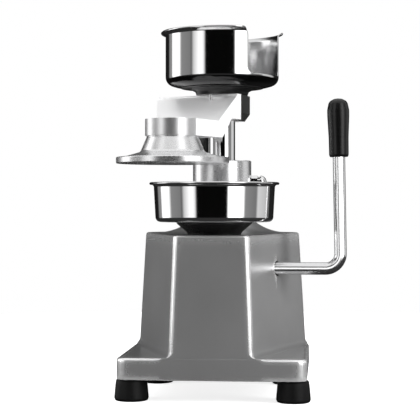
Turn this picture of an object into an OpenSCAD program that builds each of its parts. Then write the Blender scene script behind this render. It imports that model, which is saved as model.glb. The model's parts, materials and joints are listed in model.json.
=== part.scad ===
// Manual patty press: a hollow cast base, a column that slides down when the lever is pulled,
// a press head that swings on the column, a mould in a catch bowl and a bin for paper discs.
// Millimetres, +Z up, -Y the front. The model's origin is under the middle of its outer box.

/* [Base] */
// Half width of the foot plate at its top edge
plate_half_w = 122; // [120:1:126]
// Front face of the base, in front of the bowl's axis
plate_front = 60; // [58:1:64]
// Rear face of the base, behind the bowl's axis
plate_rear = 180; // [178:1:186]
// Height of the rubber feet
foot_h = 28.5; // [24:0.5:32]
// Height of the foot plate's top
plate_top = 56.6; // [54:0.1:60]
// Height of the base's flat top
base_top = 213; // [210:1:216]
// Half width of the front panel at its top
panel_half_top = 49.5; // [46:0.5:52]
// Half width of the front panel at its foot
panel_half_foot = 56; // [54:0.5:58]
// Half width of the body at its widest, at the top
body_half_top = 107.6; // [104:0.2:108]
// Half width of the body at its widest, at the foot
body_half_foot = 118.4; // [112:0.2:119]
// How far the widest place lies behind the bowl's axis
widest_back = 133; // [130:1:136]
// Thickness of the cast walls
wall = 5; // [4:0.5:6]

/* [Bowl and mould] */
// Radius of the bowl's rolled lip
bowl_rim_r = 85.5; // [84:0.5:86]
// Outer radius of the bowl's wall below the lip
bowl_wall_r = 79.5; // [79:0.1:80]
// Outer radius of the bowl at its floor
bowl_floor_r = 77; // [76:0.5:78]
// Height of the bowl's rim
bowl_rim_z = 281.7; // [280:0.1:282]
// Height of the bowl's underside
bowl_under_z = 229.5; // [228:0.5:231]
// Thickness of the pressed sheet
sheet_t = 1.5; // [1.2:0.1:2]
// Inner radius of the mould, half the patty's diameter
mould_r = 65; // [60:1:66]

/* [Column and head] */
// Distance from the bowl's axis back to the column's axis
column_back = 128; // [127:1:132]
// Radius of the sliding column
column_r = 18.3; // [17:0.1:18.5]
// Radius of the boss that guides the column
boss_r = 41; // [40:0.5:42]
// Height of the boss's top
boss_top = 313.4; // [310:0.1:315]
// How far the head stands open, in degrees
open_deg = 26.2; // [0:0.1:60]
// Radius of the press disc
disc_r = 75; // [73:0.5:75]
// Height of the press disc's flat underside
disc_under = 306.5; // [306:0.5:308]
// How far the column slides down
stroke = 23.3; // [20:0.1:23.4]

/* [Paper bin] */
// Radius of the bin's rolled lip
bin_rim_r = 86; // [84:0.5:87]
// Outer radius of the bin's wall
bin_wall_r = 79.5; // [78:0.5:80]
// Height of the bin's rim
bin_rim_z = 494; // [488:1:498]

/* [Lever] */
// How far the lever's shaft lies behind the bowl's axis
shaft_back = 38; // [36:1:40]
// Height of the lever's shaft
shaft_z = 167; // [164:1:170]
// Radius of the lever's rod
rod_r = 8.2; // [7.8:0.1:8.4]
// Distance from the bowl's axis to the upright rod's axis
upright_x = 165; // [160:1:170]
// Radius of the bend, to the middle of the rod
bend_r = 20; // [18:1:24]
// How far the lever turns, in degrees
lever_deg = 75; // [60:1:80]
// Radius of the grip at its widest
grip_r = 14.6; // [14:0.1:15]
// Height of the grip's lower end
grip_z = 315; // [310:1:320]
// Length of the grip
grip_len = 79; // [74:1:84]

/* [Hidden] */
$fn = 96;
e = 0.01;
gap = 0.05;
// The model's origin lies under the middle of the outer box.
lean_deg = 1;
grip_wide_z = grip_z + 54 - shaft_z - bend_r;
box_left = -column_back * sin(open_deg) - disc_r;
box_right = upright_x - bend_r + (bend_r + grip_r) * cos(lean_deg) - grip_wide_z * sin(lean_deg);
mid_x = (box_left + box_right) / 2;
mid_y = (column_back + bin_rim_r - bowl_rim_r) / 2;
// Foot plate and feet
foot_r = 22.3;
foot_x = 104.4;
foot_rear_x = 92;
foot_front = -35;
foot_back = plate_rear - 42;
foot_at = [for (s = [-1, 1]) each [[s * foot_x, foot_front], [s * foot_rear_x, foot_back]]];
plate_corner = 14;
rear_corner = 42;
edge_r = 6;
panel_front_top = plate_front - 5;
lid_z = 30;
lid_t = 2.5;
lid_screw_at = [for (x = [-70, 70], y = [-44, 164]) [x, y]];
// Column, guide and head
sleeve_r = 30;
sleeve_z = 178;
guide_seat_z = 226;
flare_r = 92;
flare_in_r = 44;
flare_h = 17;
flare_arc = ((flare_r - flare_in_r)^2 + flare_h^2) / (2 * flare_h);
bush_r = 21.5;
bush_len = 24;
journal_r = 14;
shoulder_z = 371;
arm_top = 405;
arm_low = 370;
hub_r = 36.5;
hub_under = 343;
hub_top = 365;
head_block_r = 40.5;
pocket_z = 396.3;
slope_top = 402.5;
slope_front = 70;
slope_back = 21;
stop_pin_r = 7;
stop_pin_at = 30;
stop_slot_r = 7.6;
stop_pin_z = 305;
stop_slot_z = 279;
swing_deg = 90;
bolt_r = 4.2;
bolt_hole_r = 4.3;
bolt_recess = 5;
// Mould and ejector
neck_top_r = 50;
neck_foot_r = 35;
neck_bore_r = 12;
mould_out_r = 69;
mould_top = 281.5;
bowl_floor_z = bowl_under_z + sheet_t;
ejector_r = 8;
ejector_top = mould_top - 1;
ejector_t = 6;
ejector_foot = 174;
// Lever, cams and yoke
lever_rad = lever_deg * PI / 180;
cam_rise = stroke / lever_rad;
cam_x = 22;
cam_t = 12;
pin_r = 7;
pin_drop = 21;
cam_gap = 0.3;
cam_hub_r = 13;
yoke_x = 36;
yoke_arm_t = 8;
yoke_z = 132;
yoke_h = 24;
yoke_hub_z = 128;
yoke_hub_h = 30;
shaft_left = -68;
ring_groove_x = 54.2;
bend_seat = 0.5;
flank_hole_r = 10.5;
shaft_bush_r = 12;
spring_r = 20;
wire_r = 2.2;
spring_coils = 7;
spring_low = lid_z + lid_t + 0.5;
spring_high = yoke_hub_z - 0.5;

// Puts a piece made round the bowl's axis into the model's frame
module placed() {
    translate([-mid_x, -mid_y, 0]) children();
}

// Puts a piece made round the column's axis, arm towards -Y, where the open head stands
module head_placed() {
    placed() translate([0, column_back, 0]) rotate(-open_deg) children();
}

module ring(out_r, in_r, z, h) {
    translate([0, 0, z]) difference() {
        cylinder(r = out_r, h = h);
        translate([0, 0, -1]) cylinder(r = in_r, h = h + 2);
    }
}

module along_x(x, y, z, len, r) {
    translate([x, y, z]) rotate([0, 90, 0]) cylinder(r = r, h = len);
}

// A disc with a rounded top edge
module puck(r, h, edge) {
    cylinder(r = r, h = h - edge, $fn = 32);
    cylinder(r = r - edge * 0.3, h = h - edge * 0.3, $fn = 32);
    cylinder(r = r - edge, h = h, $fn = 32);
}

// Socket screw, head up, with its head resting at height 0
module socket_screw(r, len, head_r, head_h) {
    difference() {
        union() {
            translate([0, 0, -len]) cylinder(r = r, h = len + e);
            cylinder(r = head_r, h = head_h);
        }
        translate([0, 0, head_h * 0.45]) cylinder(r = head_r * 0.55, h = head_h, $fn = 6);
    }
}

// The tapering body, narrow in front and wide behind, shrunk all round by t
module body_form(t, low, high, top_edge) {
    hull() for (s = [-1, 1]) {
        translate([s * (panel_half_foot - edge_r - t / 2), -plate_front + edge_r + t, low])
            cylinder(r = edge_r, h = 1, $fn = 32);
        translate([s * (panel_half_top - edge_r - t / 2), -panel_front_top + edge_r + t, high - 10])
            puck(edge_r, 10, top_edge);
        translate([s * (body_half_foot - edge_r - t), widest_back, low])
            cylinder(r = edge_r, h = 1, $fn = 32);
        translate([s * (body_half_top - edge_r - t), widest_back, high - 10])
            puck(edge_r, 10, top_edge);
        translate([s * (body_half_foot - rear_corner - t), plate_rear - 4 - rear_corner - t, low])
            cylinder(r = rear_corner, h = 1, $fn = 48);
        translate([s * (body_half_top - rear_corner - t), plate_rear - 7 - rear_corner - t, high - 10])
            puck(rear_corner, 10, top_edge);
    }
}

// The foot plate's outline, shrunk all round by t
module plate_form(t, low, h, top_edge) {
    hull() for (s = [-1, 1]) {
        translate([s * (plate_half_w - plate_corner - t), -plate_front + plate_corner + t, low])
            puck(plate_corner, h, top_edge);
        translate([s * (plate_half_w - rear_corner - t), plate_rear - rear_corner - t, low])
            puck(rear_corner, h, top_edge);
    }
}

// Flared foot of the boss, cut to the body's rear wall
module flare() {
    translate([0, column_back, base_top - 2]) difference() {
        cylinder(r = flare_r, h = flare_h + 2);
        rotate_extrude() translate([flare_r, flare_arc + 2]) circle(r = flare_arc, $fn = 180);
        translate([-200, plate_rear - 9 - column_back, -1]) cube([400, 100, flare_h + 4]);
    }
}

module base_casting() {
    color("darkgray") placed() difference() {
        union() {
            difference() {
                union() {
                    body_form(0, foot_h + 6, base_top, 3);
                    plate_form(0, foot_h, plate_top - foot_h, 4);
                    flare();
                }
                body_form(wall, foot_h - 2, base_top - wall - 1, 1);
                plate_form(wall, foot_h - 1, plate_top - foot_h - wall + 1, 1);
            }
            for (p = foot_at) translate([p[0], p[1], foot_h]) cylinder(r = 12, h = 24);
            for (p = lid_screw_at) translate([p[0], p[1], lid_z + lid_t]) cylinder(r = 7, h = 20);
            along_x(56, shaft_back, shaft_z, 20, 17);
            along_x(-76, shaft_back, shaft_z, 18, 17);
        }
        for (p = foot_at) translate([p[0], p[1], foot_h - 1]) cylinder(r = 4.3, h = 19);
        for (p = lid_screw_at) translate([p[0], p[1], lid_z]) cylinder(r = 2.6, h = 16);
        along_x(50, shaft_back, shaft_z, 60, flank_hole_r);
        along_x(54, shaft_back, shaft_z, 17, shaft_bush_r + gap);
        along_x(-73, shaft_back, shaft_z, 20, shaft_bush_r + gap);
        translate([0, column_back, 150]) cylinder(r = sleeve_r + gap, h = 100);
        translate([0, column_back, guide_seat_z]) cylinder(r = boss_r + gap, h = 20);
        translate([0, 0, 190]) cylinder(r = neck_bore_r + gap, h = 60);
        for (a = [90, 210, 330]) rotate(a) translate([24, 0, 190]) cylinder(r = 2.8, h = 60);
        for (a = [45:90:315]) translate([0, column_back, 190]) rotate(a)
            translate([36, 0, 0]) cylinder(r = 2.8, h = 60);
    }
}

module bottom_plate() {
    color("gray") placed() difference() {
        plate_form(wall + 1, lid_z, lid_t, 0.5);
        for (p = foot_at) translate([p[0], p[1], lid_z - 1]) cylinder(r = 13, h = 6);
        for (p = lid_screw_at) translate([p[0], p[1], lid_z - 1]) cylinder(r = 2.8, h = 6);
        translate([0, column_back, lid_z - 1]) cylinder(r = bolt_hole_r, h = 6);
    }
}

module bottom_screws() {
    color("silver") placed() for (p = lid_screw_at)
        translate([p[0], p[1], lid_z - gap]) mirror([0, 0, 1]) socket_screw(2.5, 14, 4.5, 2.4);
}

module rubber_feet() {
    color([0.08, 0.08, 0.08]) placed() for (p = foot_at) translate([p[0], p[1], 0]) rotate_extrude()
        polygon([[4.4, 8], [9, 8], [9, 0], [foot_r - 2, 0], [foot_r, 2], [foot_r - 2.3, foot_h - 3.5],
            [foot_r - 5, foot_h - gap], [4.4, foot_h - gap]]);
}

module foot_screws() {
    color("silver") placed() for (p = foot_at)
        translate([p[0], p[1], 8 - gap]) mirror([0, 0, 1]) socket_screw(4.2, 36, 7, 4);
}

module column_guide() {
    color("gainsboro") placed() translate([0, column_back, 0]) difference() {
        union() {
            translate([0, 0, sleeve_z]) cylinder(r = sleeve_r, h = boss_top - sleeve_z - 1);
            translate([0, 0, guide_seat_z + gap]) cylinder(r = boss_r, h = boss_top - guide_seat_z - gap - 1);
            translate([0, 0, boss_top - 1 - e]) cylinder(r1 = boss_r, r2 = boss_r - 1, h = 1 + e);
        }
        translate([0, 0, sleeve_z - 1]) cylinder(r = column_r + 0.5, h = 200);
        translate([0, 0, sleeve_z - 1]) cylinder(r = bush_r + gap, h = bush_len + 1.2);
        translate([0, 0, stop_slot_z - 4 - bush_len]) cylinder(r = bush_r + gap, h = bush_len + 0.2);
        translate([0, 0, stop_slot_z]) rotate_extrude(angle = swing_deg + 32, start = 74)
            translate([stop_pin_at - stop_slot_r, 0]) square([2 * stop_slot_r, 60]);
        translate([24, 0, 284]) rotate([0, 90, 0]) cylinder(r = 4.1, h = 30);
        for (a = [45:90:315]) rotate(a) translate([36, 0, guide_seat_z - 1]) cylinder(r = 2.6, h = 16);
    }
}

module guide_bolts() {
    color("dimgray") placed() translate([0, column_back, base_top - wall - 1.1]) for (a = [45:90:315])
        rotate(a) translate([36, 0, 0]) mirror([0, 0, 1]) socket_screw(2.5, 28, 4.5, 5);
}

module column_bush(z) {
    color("goldenrod") placed() translate([0, column_back, 0]) ring(bush_r, column_r + gap, z, bush_len);
}

module upper_column_bush() {
    column_bush(stop_slot_z - 3.9 - bush_len);
}

module lower_column_bush() {
    column_bush(sleeve_z);
}

module side_screw() {
    color("silver") placed() translate([boss_r, column_back, 284]) rotate([0, 90, 0]) union() {
        translate([0, 0, -15]) cylinder(r = 4, h = 16);
        translate([0, 0, gap]) cylinder(r = 9, h = 9, $fn = 6);
        translate([0, 0, 9]) cylinder(r = 7, h = 4);
        translate([0, 0, 12.9]) intersection() {
            sphere(r = 8.6);
            cylinder(r = 9, h = 9);
        }
    }
}

module bowl_neck() {
    color("dimgray") placed() difference() {
        translate([0, 0, base_top + gap]) cylinder(r1 = neck_foot_r, r2 = neck_top_r,
            h = bowl_under_z - base_top - 2 * gap);
        translate([0, 0, base_top - 1]) cylinder(r = neck_bore_r + gap, h = 40);
        for (a = [90, 210, 330]) rotate(a) translate([24, 0, base_top - 1]) cylinder(r = 2.6, h = 12);
        for (a = [30, 150, 270]) rotate(a) translate([38, 0, bowl_under_z - 10]) cylinder(r = 2.6, h = 20);
    }
}

module neck_screws() {
    color("dimgray") placed() for (a = [90, 210, 330]) rotate(a)
        translate([24, 0, base_top - wall - 1.1]) mirror([0, 0, 1]) socket_screw(2.5, 15, 4.5, 5);
}

// A spun cup: flared lip, nearly straight wall, rounded corner, flat floor with a hole
module cup(rim_r, wall_r, floor_r, rim_z, floor_z, corner, lip_rise, hole_r) {
    rotate_extrude($fn = 128) polygon(concat(
        [[hole_r, floor_z], [floor_r - corner, floor_z]],
        [for (a = [10:10:80]) [floor_r - corner + corner * sin(a), floor_z + corner - corner * cos(a)]],
        [[floor_r, floor_z + corner], [wall_r, rim_z - lip_rise]],
        [for (t = [0.25:0.25:0.75]) [wall_r + (rim_r - wall_r) * t * t,
            rim_z - lip_rise + (lip_rise - sheet_t) * t]],
        [[rim_r, rim_z - sheet_t], [rim_r, rim_z], [rim_r - sheet_t, rim_z]],
        [for (t = [0.75:-0.25:0.25]) [wall_r - sheet_t + (rim_r - wall_r) * t * t,
            rim_z - lip_rise + lip_rise * t]],
        [[wall_r - sheet_t, rim_z - lip_rise], [floor_r - sheet_t, floor_z + corner]],
        [for (a = [80:-10:10]) [floor_r - corner + (corner - sheet_t) * sin(a),
            floor_z + corner - (corner - sheet_t) * cos(a)]],
        [[floor_r - corner, floor_z + sheet_t], [hole_r, floor_z + sheet_t]]
    ));
}

module lower_bowl() {
    color("silver") placed() difference() {
        cup(bowl_rim_r, bowl_wall_r, bowl_floor_r, bowl_rim_z, bowl_under_z, 6, 6, neck_bore_r + gap);
        for (a = [30, 150, 270]) rotate(a) translate([38, 0, bowl_under_z - 1]) cylinder(r = 2.8, h = 4);
    }
}

module mould_ring() {
    color("whitesmoke") placed() difference() {
        translate([0, 0, bowl_floor_z + gap]) cylinder(r = mould_out_r, h = mould_top - bowl_floor_z - gap);
        translate([0, 0, bowl_floor_z + 6]) cylinder(r = mould_r, h = 60);
        translate([0, 0, bowl_floor_z - 1]) cylinder(r = neck_bore_r + gap, h = 10);
        for (a = [30, 150, 270]) rotate(a) translate([38, 0, bowl_floor_z - 1]) cylinder(r = 2.8, h = 10);
    }
}

module mould_screws() {
    color("silver") placed() for (a = [30, 150, 270]) rotate(a)
        translate([38, 0, bowl_floor_z + 6 + gap]) socket_screw(2.5, 14, 4.5, 3);
}

module ejector_bush() {
    color("goldenrod") placed() ring(neck_bore_r, ejector_r + gap, base_top - wall, 24);
}

module right_shaft_bush() {
    color("goldenrod") placed() difference() {
        along_x(56, shaft_back, shaft_z, 14.9, shaft_bush_r);
        along_x(50, shaft_back, shaft_z, 30, rod_r + gap);
    }
}

module left_shaft_bush() {
    color("goldenrod") placed() difference() {
        along_x(-72.9, shaft_back, shaft_z, 14.9, shaft_bush_r);
        along_x(-80, shaft_back, shaft_z, 30, rod_r + gap);
    }
}

module spring_post() {
    color("dimgray") placed() translate([0, column_back, 0]) union() {
        translate([0, 0, lid_z + lid_t + gap]) cylinder(r = 15, h = 40);
        translate([0, 0, lid_z - 1]) cylinder(r = bolt_r, h = 10);
        translate([0, 0, lid_z - 5]) cylinder(r = 8, h = 5 - gap, $fn = 6);
    }
}

// Helical wire with flat-lying end turns
spring_sides = 8;
spring_steps = 20;
spring_n = spring_coils * spring_steps;
spring_point = [for (i = [0:spring_n]) [spring_r * cos(360 * i / spring_steps),
    spring_r * sin(360 * i / spring_steps),
    spring_low + wire_r + (spring_high - spring_low - 2 * wire_r) * i / spring_n]];
spring_ring = [for (i = [0:spring_n], k = [0:spring_sides - 1]) spring_point[i]
    + wire_r * cos(360 * k / spring_sides) * [cos(360 * i / spring_steps), sin(360 * i / spring_steps), 0]
    + [0, 0, wire_r * sin(360 * k / spring_sides)]];
spring_side = [for (i = [0:spring_n - 1], k = [0:spring_sides - 1]) let (k2 = (k + 1) % spring_sides,
    a = i * spring_sides, b = a + spring_sides) [a + k, b + k, b + k2, a + k2]];
spring_ends = [[for (k = [0:spring_sides - 1]) k],
    [for (k = [0:spring_sides - 1]) spring_n * spring_sides + spring_sides - 1 - k]];

module return_spring() {
    color("silver") placed() translate([0, column_back, 0])
        polyhedron(points = spring_ring, faces = concat(spring_side, spring_ends), convexity = 10);
}

// The bend is a hair thinner than the straight rod, and its ends sit inside it
module lever_rod() {
    color("silver") placed() difference() {
        union() {
            along_x(shaft_left, shaft_back, shaft_z, upright_x - bend_r - shaft_left + bend_seat, rod_r);
            translate([upright_x - bend_r, shaft_back, shaft_z + bend_r]) rotate([90, 0, 0])
                rotate([0, 0, -90]) rotate_extrude(angle = 90 + lean_deg) translate([bend_r, 0])
                    circle(r = rod_r - 0.03, $fn = 64);
            translate([upright_x - bend_r, shaft_back, shaft_z + bend_r]) rotate([0, -lean_deg, 0])
                translate([bend_r, 0, -bend_seat])
                    cylinder(r = rod_r, h = grip_z + grip_len - shaft_z - bend_r - 14);
        }
        for (x = [-cam_x, 0, cam_x]) translate([x, shaft_back - 30, shaft_z]) rotate([-90, 0, 0])
            cylinder(r = 2.1, h = 60);
        translate([ring_groove_x, shaft_back, shaft_z]) rotate([0, 90, 0])
            ring(rod_r + 1, rod_r - 1, 0, 1.6);
    }
}

module lever_grip() {
    color([0.1, 0.1, 0.1]) placed() translate([upright_x - bend_r, shaft_back, shaft_z + bend_r])
        rotate([0, -lean_deg, 0]) translate([bend_r, 0, grip_z - shaft_z - bend_r]) rotate_extrude()
            polygon(concat([[rod_r + gap, 0], [12.4, 0], [12.8, 1.5], [grip_r, 54], [grip_r, 64]],
                [for (a = [10:10:90]) [grip_r * cos(a) + 0.6 * sin(a), 64 + 13 * sin(a)]],
                [[0, grip_len - 1.2], [0, grip_len - 13.5], [rod_r + gap, grip_len - 13.5]]));
}

// Spiral cam: its edge keeps the same small gap to the follower pin at every turn of the shaft
cam_steps = 20;
cam_path = [for (i = [0:cam_steps]) let (t = (lever_deg + 6) * i / cam_steps,
    p = pin_drop + cam_rise * t * PI / 180, a = -90 - t, n = norm([p, cam_rise]), d = pin_r + cam_gap)
    [(p - d * p / n) * cos(a) + d * cam_rise / n * sin(a),
        (p - d * p / n) * sin(a) - d * cam_rise / n * cos(a)]];
cam_back = [for (a = [150:-20:-70]) cam_hub_r * [cos(a), sin(a)]];
cam_seat = [for (a = [90, 110]) [0, -pin_drop] + (pin_r + cam_gap + 0.1) * [cos(a), sin(a)]];

module cam(x) {
    color("dimgray") placed() translate([x - cam_t / 2, shaft_back, shaft_z]) difference() {
        rotate([90, 0, 90]) linear_extrude(cam_t) polygon(concat(cam_path, cam_back, cam_seat));
        translate([-1, 0, 0]) rotate([0, 90, 0]) cylinder(r = rod_r + gap, h = cam_t + 2);
        translate([cam_t / 2, -60, 0]) rotate([-90, 0, 0]) cylinder(r = 2.1, h = 120);
    }
}

module left_cam() {
    cam(-cam_x);
}

module right_cam() {
    cam(cam_x);
}

module ejector_finger() {
    color("dimgray") placed() translate([-6, shaft_back, shaft_z]) difference() {
        union() {
            rotate([0, 90, 0]) cylinder(r = 13, h = 12);
            translate([0, -shaft_back, -5]) cube([12, shaft_back, 10]);
            translate([0, -shaft_back, 0]) rotate([0, 90, 0]) cylinder(r = 5.6, h = 12);
        }
        translate([-1, 0, 0]) rotate([0, 90, 0]) cylinder(r = rod_r + gap, h = 14);
        translate([6, -14, 0]) rotate([-90, 0, 0]) cylinder(r = 2.1, h = 40);
    }
}

module shaft_pins() {
    color("silver") placed() for (x = [-cam_x, 0, cam_x])
        translate([x, shaft_back - 12.6, shaft_z]) rotate([-90, 0, 0]) cylinder(r = 2, h = 25.2);
}

module shaft_ring() {
    color("dimgray") placed() translate([ring_groove_x + 0.1, shaft_back, shaft_z]) rotate([0, 90, 0])
        difference() {
            ring(rod_r + 2.6, rod_r - 0.9, 0, 1.4);
            translate([rod_r - 3, -2, -1]) cube([10, 4, 4]);
        }
}

module column() {
    color("silver") placed() translate([0, column_back, 0]) difference() {
        union() {
            translate([0, 0, yoke_hub_z]) cylinder(r = column_r, h = shoulder_z - yoke_hub_z);
            translate([0, 0, shoulder_z - e]) cylinder(r = journal_r, h = pocket_z - shoulder_z + e);
        }
        translate([0, 0, pocket_z - 26]) cylinder(r = bolt_hole_r, h = 40);
        translate([0, 0, yoke_hub_z + 12]) rotate([90, 0, 0]) cylinder(r = 2.6, h = 60, center = true);
    }
}

module yoke() {
    color("gray") placed() difference() {
        union() {
            translate([0, column_back, yoke_hub_z]) cylinder(r = 29, h = yoke_hub_h);
            translate([-yoke_x - yoke_arm_t / 2, column_back - 26, yoke_z])
                cube([2 * yoke_x + yoke_arm_t, 22, yoke_h]);
            for (s = [-1, 1]) {
                translate([s * yoke_x - yoke_arm_t / 2, shaft_back, yoke_z])
                    cube([yoke_arm_t, column_back - shaft_back - 10, yoke_h]);
                translate([s * yoke_x - yoke_arm_t / 2, shaft_back, yoke_z + yoke_h / 2])
                    rotate([0, 90, 0]) cylinder(r = yoke_h / 2, h = yoke_arm_t);
            }
        }
        translate([0, column_back, yoke_hub_z - 1]) cylinder(r = column_r + gap, h = 40);
        along_x(-50, shaft_back, shaft_z - pin_drop, 100, pin_r + gap);
        translate([0, column_back + 40, yoke_hub_z + 12]) rotate([90, 0, 0]) cylinder(r = 2.6, h = 80);
    }
}

module follower_pins() {
    color("silver") placed() for (s = [0, 1]) mirror([s, 0, 0]) union() {
        along_x(cam_x - cam_t / 2 - 1, shaft_back, shaft_z - pin_drop, yoke_x - cam_x + 11, pin_r);
        along_x(yoke_x + yoke_arm_t / 2 + gap, shaft_back, shaft_z - pin_drop, 3, pin_r + 2);
    }
}

module yoke_screw() {
    color("dimgray") placed() translate([0, column_back + 29 + gap, yoke_hub_z + 12]) rotate([-90, 0, 0])
        socket_screw(2.5, 54, 4.5, 5);
}

module thrust_ring() {
    color("goldenrod") placed() translate([0, column_back, 0])
        ring(22, journal_r + gap, shoulder_z + gap, 2.6);
}

module head_washer() {
    color("silver") placed() translate([0, column_back, 0])
        ring(20, bolt_hole_r, pocket_z + gap, 2.2);
}

module head_bolt() {
    color("dimgray") placed() translate([0, column_back, pocket_z + 2.4]) union() {
        translate([0, 0, -24]) cylinder(r = bolt_r, h = 24 + e);
        cylinder(r = 8, h = 4.8, $fn = 6);
    }
}

// Side view of the arm, from the column forward to the hub
module arm_side(width) {
    rotate([90, 0, -90]) linear_extrude(width, center = true)
        polygon([[-12, arm_low], [36, arm_low], [46, 357], [60, hub_under], [column_back, hub_under],
            [column_back, hub_top], [slope_front, hub_top], [slope_back, slope_top],
            [slope_back - 3, arm_top], [-12, arm_top]]);
}

// The block round the column and the broad shoulder on the arm's left, under the same slope
module arm_block() {
    intersection() {
        translate([-30, 0, 0]) rotate([90, 0, -90]) linear_extrude(160, center = true)
            polygon([[-50, arm_low], [64, arm_low], [slope_back, slope_top], [slope_back - 3, arm_top],
                [-50, arm_top]]);
        union() {
            translate([0, 0, arm_low - 1]) linear_extrude(50)
                polygon([[0, 34], [-24, 33], [-86, -8], [-92, -16], [-92, -25], [-68, -68], [0, -68]]);
            translate([0, 0, arm_low]) cylinder(r1 = head_block_r - 9, r2 = head_block_r, h = 10);
            translate([0, 0, arm_low + 10 - e]) cylinder(r = head_block_r, h = 50);
        }
    }
}

module press_arm() {
    color("gainsboro") head_placed() difference() {
        union() {
            translate([0, -column_back, hub_under]) cylinder(r = hub_r, h = hub_top - hub_under);
            arm_side(2 * hub_r);
            arm_block();
        }
        translate([0, 0, arm_low - 1]) cylinder(r = 23, h = 5);
        translate([0, 0, arm_low]) cylinder(r = 18 + gap, h = 60);
        translate([0, 0, pocket_z - 0.4]) cylinder(r = 21, h = 20);
        translate([0, -column_back, hub_under - 1]) cylinder(r = 12 + gap, h = 15);
        translate([0, -column_back, hub_under]) cylinder(r = bolt_hole_r, h = 40);
        translate([0, -column_back, hub_top - bolt_recess]) cylinder(r = 9.6, h = 20);
        translate([-stop_pin_at, 0, arm_low - 1]) cylinder(r = stop_pin_r + gap, h = 19);
        for (a = [30, 150, 270]) rotate(a) translate([31, 0, arm_top - 12]) cylinder(r = 2.1, h = 20);
    }
}

module arm_bush() {
    color("goldenrod") head_placed() ring(18, journal_r + gap, 374, 21.9);
}

module press_plate() {
    color("silver") head_placed() translate([0, -column_back, 0]) difference() {
        rotate_extrude($fn = 160) polygon([[0, disc_under], [disc_r - 1.5, disc_under],
            [disc_r, disc_under + 1.5], [disc_r, disc_under + 7.3], [disc_r - 1, disc_under + 8.3],
            [44, 321.6], [43.2, 323], [42, 323.6],
            [34.4, 341.5], [34.4, hub_under - gap], [12, hub_under - gap], [12, 356], [0, 356]]);
        translate([0, 0, 340]) cylinder(r = 3.4, h = 30);
    }
}

module plate_bolt() {
    color("silver") head_placed() translate([0, -column_back, hub_top - bolt_recess + gap]) union() {
        cylinder(r = 9, h = 1.2);
        translate([0, 0, 1.2 - e]) cylinder(r = 6.4, h = 3.4, $fn = 6);
        translate([0, 0, -19]) cylinder(r = 3.3, h = 19.5);
    }
}

module bin_neck() {
    color("dimgray") head_placed() difference() {
        rotate_extrude() polygon(concat([[26, arm_top + gap], [36, arm_top + gap]],
            [for (a = [0:15:75]) [36 + 16 * (1 - cos(a)), arm_top + gap + 9.4 * sin(a)]],
            [[58, 415.6], [26, 415.6]]));
        for (a = [30, 150, 270]) rotate(a) translate([31, 0, arm_top - 2]) cylinder(r = 2.6, h = 20);
    }
}

bin_cut_low = 431;
bin_cut_from = -59 + open_deg;
bin_cut_to = -2 + open_deg;
bin_cut_r = 7;
bin_cut_turn = 5;

// Spun bin: flared lip, straight wall, rounded corner, shallow cone down to its seat
module bin_shell() {
    rotate_extrude($fn = 128) polygon(concat(
        [[25, 415.7], [58, 415.7]],
        [for (a = [0:15:75]) [bin_wall_r - 12 + 12 * sin(a), 431 - 12 * cos(a)]],
        [[bin_wall_r, 431], [bin_wall_r, bin_rim_z - 7]],
        [for (t = [0.25:0.25:0.75]) [bin_wall_r + (bin_rim_r - bin_wall_r) * t * t, bin_rim_z - 7 + 5.5 * t]],
        [[bin_rim_r, bin_rim_z - sheet_t], [bin_rim_r, bin_rim_z], [bin_rim_r - sheet_t, bin_rim_z]],
        [for (t = [0.75:-0.25:0.25]) [bin_wall_r - sheet_t + (bin_rim_r - bin_wall_r) * t * t,
            bin_rim_z - 7 + 7 * t]],
        [[bin_wall_r - sheet_t, bin_rim_z - 7], [bin_wall_r - sheet_t, 431]],
        [for (a = [75:-15:0]) [bin_wall_r - 12 + (12 - sheet_t) * sin(a), 431 - (12 - sheet_t) * cos(a)]],
        [[58, 415.7 + sheet_t], [25, 415.7 + sheet_t]]
    ));
}

// Upright wedge between two directions, from height z up
module wedge(from, to, z) {
    translate([0, 0, z]) linear_extrude(100)
        polygon([[0, 0], [110 * cos(from), 110 * sin(from)], [110 * cos(to), 110 * sin(to)]]);
}

module paper_bin() {
    color("silver") head_placed() difference() {
        bin_shell();
        for (a = [0:22.5:90]) wedge(bin_cut_from + bin_cut_turn * (1 - sin(a)),
            bin_cut_to - bin_cut_turn * (1 - sin(a)), bin_cut_low + bin_cut_r * (1 - cos(a)));
        for (a = [30, 150, 270]) rotate(a) translate([31, 0, 400]) cylinder(r = 2.8, h = 30);
    }
}

module bin_screws() {
    color("silver") head_placed() for (a = [30, 150, 270]) rotate(a)
        translate([31, 0, 415.7 + sheet_t + gap]) socket_screw(2, 20, 4.5, 2.6);
}

module swing_stop_pin() {
    color([0.1, 0.1, 0.1]) head_placed() translate([-stop_pin_at, 0, stop_pin_z])
        cylinder(r = stop_pin_r, h = arm_low + 17 - stop_pin_z);
}

module ejector_plate() {
    color("whitesmoke") placed() difference() {
        translate([0, 0, ejector_top - ejector_t]) cylinder(r = mould_r - 0.3, h = ejector_t);
        translate([0, 0, ejector_top - ejector_t - 1]) cylinder(r = ejector_r - 3 + gap, h = 10);
    }
}

module ejector_rod() {
    color("silver") placed() union() {
        translate([0, 0, ejector_foot + 2])
            cylinder(r = ejector_r, h = ejector_top - ejector_t - ejector_foot - 2 - gap);
        translate([0, 0, ejector_top - ejector_t - 1]) cylinder(r = ejector_r - 3, h = ejector_t + 1);
    }
}

module ejector_nut() {
    color("dimgray") placed() difference() {
        translate([0, 0, ejector_foot + 7]) cylinder(r = 13, h = 7);
        translate([0, 0, ejector_foot - 5]) cylinder(r = ejector_r + gap, h = 30);
    }
}

module ejector_lock_nut() {
    color("silver") placed() difference() {
        translate([0, 0, ejector_foot]) cylinder(r = 12.5, h = 6.5, $fn = 6);
        translate([0, 0, ejector_foot - 5]) cylinder(r = ejector_r + gap, h = 30);
    }
}

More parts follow.
